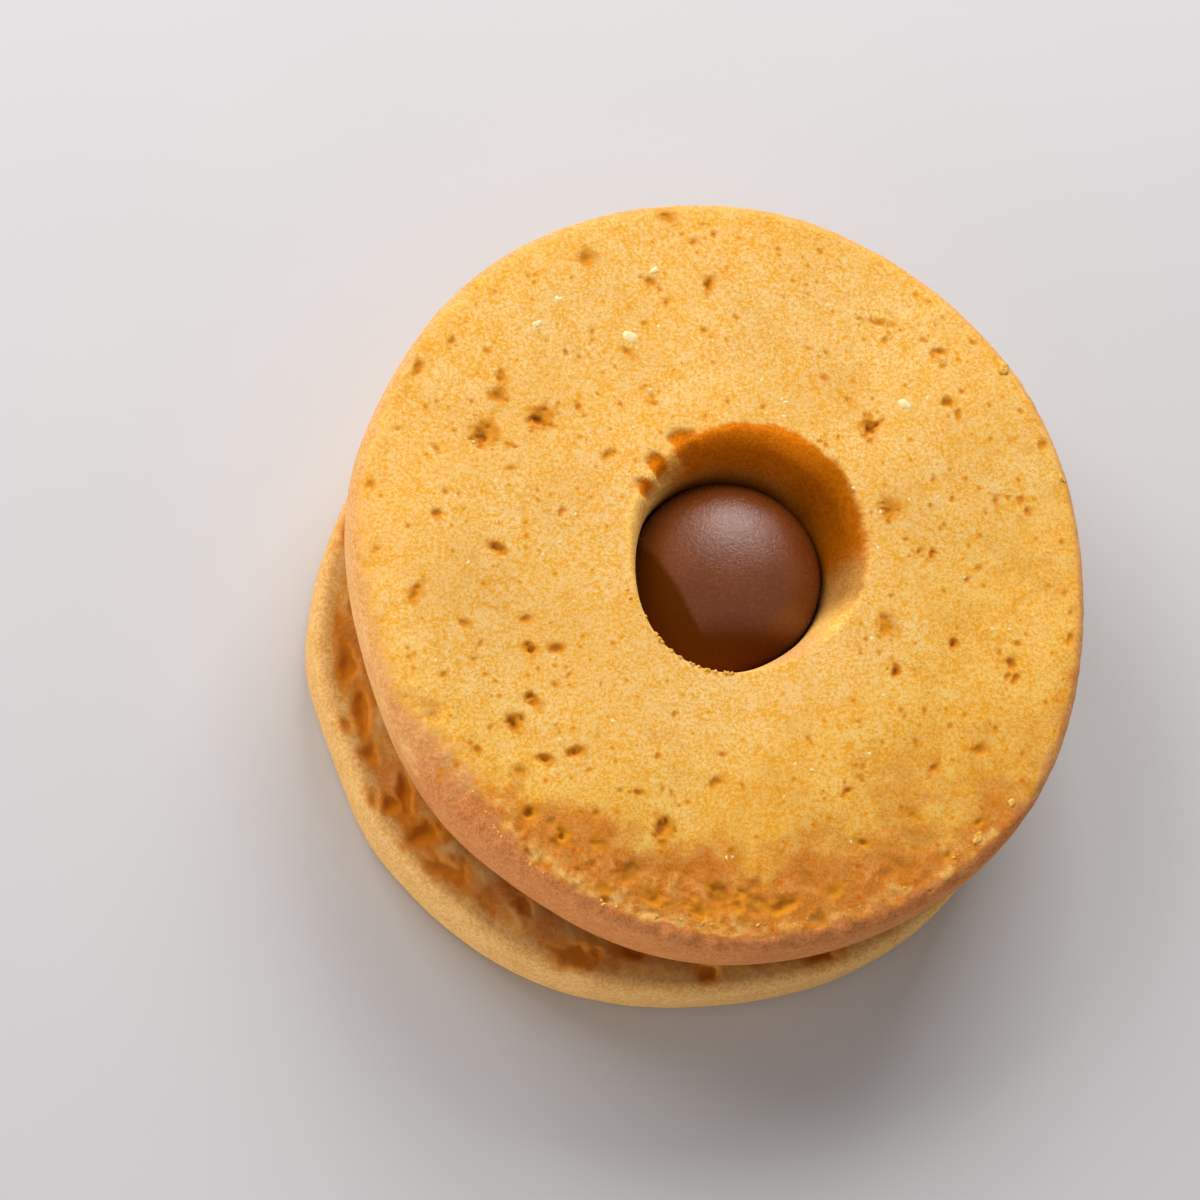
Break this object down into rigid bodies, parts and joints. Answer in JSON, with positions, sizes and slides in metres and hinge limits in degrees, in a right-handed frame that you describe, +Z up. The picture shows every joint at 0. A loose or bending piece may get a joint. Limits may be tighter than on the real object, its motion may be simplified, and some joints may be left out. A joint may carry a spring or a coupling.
{
  "type": "sandwich cookie",
  "caption": "Round shortbread sandwich cookie: a biscuit ring with a hole over a chocolate filling that domes up in the hole, on a plain round biscuit that has slid a little to one side.",
  "frame": {"origin": "middle of the cookie's footprint, on the surface that it lies on", "axes": "+Z up through the thickness, from the plain biscuit to the ring; the plain biscuit has slid mostly towards -Y"},
  "size_m": [0.0606, 0.0626, 0.0173],
  "materials": {
    "ring_crust": "matte, fine golden crumb with pits",
    "chocolate": "smooth milk chocolate with a soft hazy gloss",
    "base_crust": "matte, golden brown crumb, dented on its upper face"
  },
  "bodies": {
    "root": {"ring_biscuit": "ring_crust", "chocolate_filling": "chocolate", "base_biscuit": "base_crust"}
  },
  "joints": []
}
